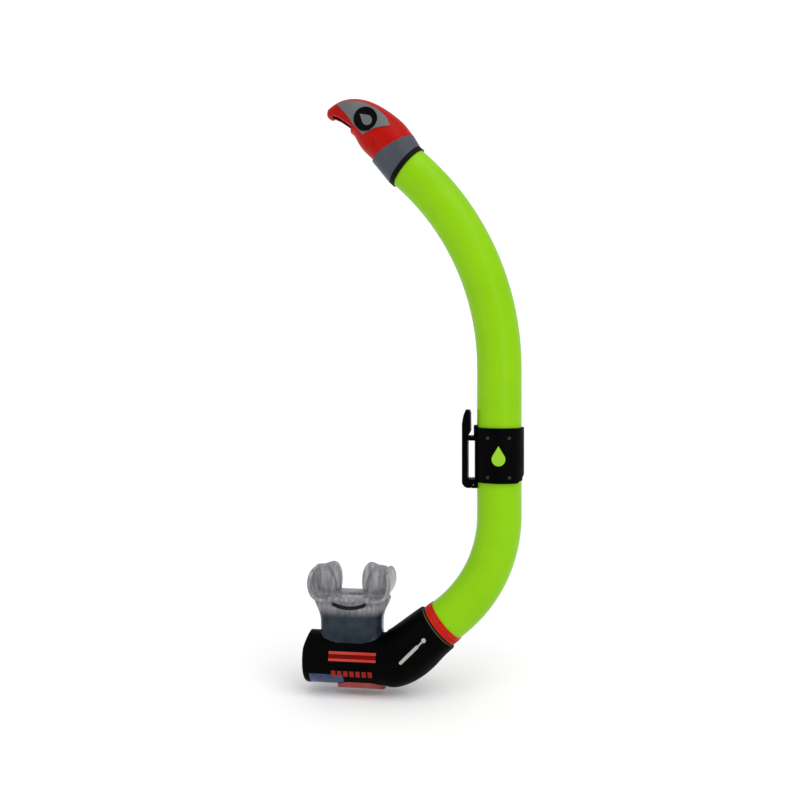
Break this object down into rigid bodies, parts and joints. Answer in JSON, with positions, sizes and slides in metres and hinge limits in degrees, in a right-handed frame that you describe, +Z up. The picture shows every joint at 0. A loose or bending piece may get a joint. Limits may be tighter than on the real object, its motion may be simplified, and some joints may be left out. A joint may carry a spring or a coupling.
{
  "type": "snorkel tube",
  "caption": "Curved breathing tube with a splash guard and float valve, a strap keeper, and a swivelling purge chamber with a clear bite mouthpiece.",
  "frame": {"origin": "middle of the mask-strap slot, between the keeper's clip and band", "axes": "+Z up along the tube's straight run as worn, XZ is the snorkel's own plane, -X towards the mouthpiece and the guard's nose"},
  "size_m": [0.1472, 0.0366, 0.3989],
  "materials": {
    "green_tube": "glossy",
    "black_plastic": "satin",
    "black_gloss": "glossy",
    "red_plastic": "glossy",
    "grey_plastic": "satin",
    "panel_grey": "satin",
    "olive_plastic": "satin",
    "black_rubber": "matte",
    "clear_silicone": "glossy",
    "clear_valve": "satin",
    "blue_window": "glossy",
    "red_translucent": "glossy",
    "print_red": "matte",
    "print_grey": "matte",
    "print_green": "matte",
    "float_foam": "matte"
  },
  "bodies": {
    "keeper": {"keeper_band": "black_plastic", "keeper_badge": "print_green", "keeper_rivets": "print_grey"},
    "clip": {"strap_clip": "black_plastic"},
    "liner": {"keeper_liner": "black_rubber"},
    "tube": {"main_tube": "green_tube", "tube_coupler": "black_plastic", "swivel_ring": "red_plastic", "swivel_collar": "black_plastic", "swivel_washer": "olive_plastic", "swivel_o_ring": "black_rubber", "guard_gasket": "black_rubber", "guard_collar": "grey_plastic", "guard_hood": "red_plastic", "guard_panel_front": "panel_grey", "guard_panel_back": "panel_grey", "guard_badge_front": "black_gloss", "guard_badge_back": "black_gloss", "guard_emblems": "print_grey", "valve_pin": "red_plastic", "valve_seat": "grey_plastic"},
    "float_valve": {"valve_flap": "black_rubber", "valve_lever": "grey_plastic", "valve_float": "float_foam"},
    "chamber": {"purge_chamber": "black_plastic", "chamber_end_cap": "black_plastic", "sump_window": "blue_window", "chamber_stripes": "print_red", "chamber_marks": "print_red", "elbow_marks": "print_grey", "purge_seat": "black_plastic", "purge_cover": "red_translucent", "mouthpiece": "clear_silicone"},
    "purge_disc": {"purge_valve": "clear_valve"}
  },
  "joints": [
    {"name": "clip_flex", "type": "hinge", "parent": "keeper", "child": "clip", "pos_m": [-0.00135, 0, -0.0157], "axis": [0, -1, 0], "range_deg": [0, 10], "stiffness_Nm_per_rad": 1.2},
    {"name": "keeper_turn", "type": "hinge", "parent": "keeper", "child": "liner", "pos_m": [0.0185, 0, 0], "axis": [0, 0, 1], "continuous": true},
    {"name": "keeper_slide", "type": "slide", "parent": "liner", "child": "tube", "axis": [0, 0, 1], "range_m": [-0.039, 0.023]},
    {"name": "chamber_swivel", "type": "hinge", "parent": "tube", "child": "chamber", "pos_m": [-0.01659, 0, -0.10793], "axis": [-0.7604, 0, -0.6494], "continuous": true},
    {"name": "purge_valve_lift", "type": "slide", "parent": "chamber", "child": "purge_disc", "axis": [0, 0, -1], "range_m": [0, 0.0013], "stiffness_N_per_m": 100, "springref_m": -0.0005},
    {"name": "float_valve_swing", "type": "hinge", "parent": "tube", "child": "float_valve", "pos_m": [-0.06474, 0, 0.21013], "axis": [0, 1, 0], "range_deg": [0, 16]}
  ]
}
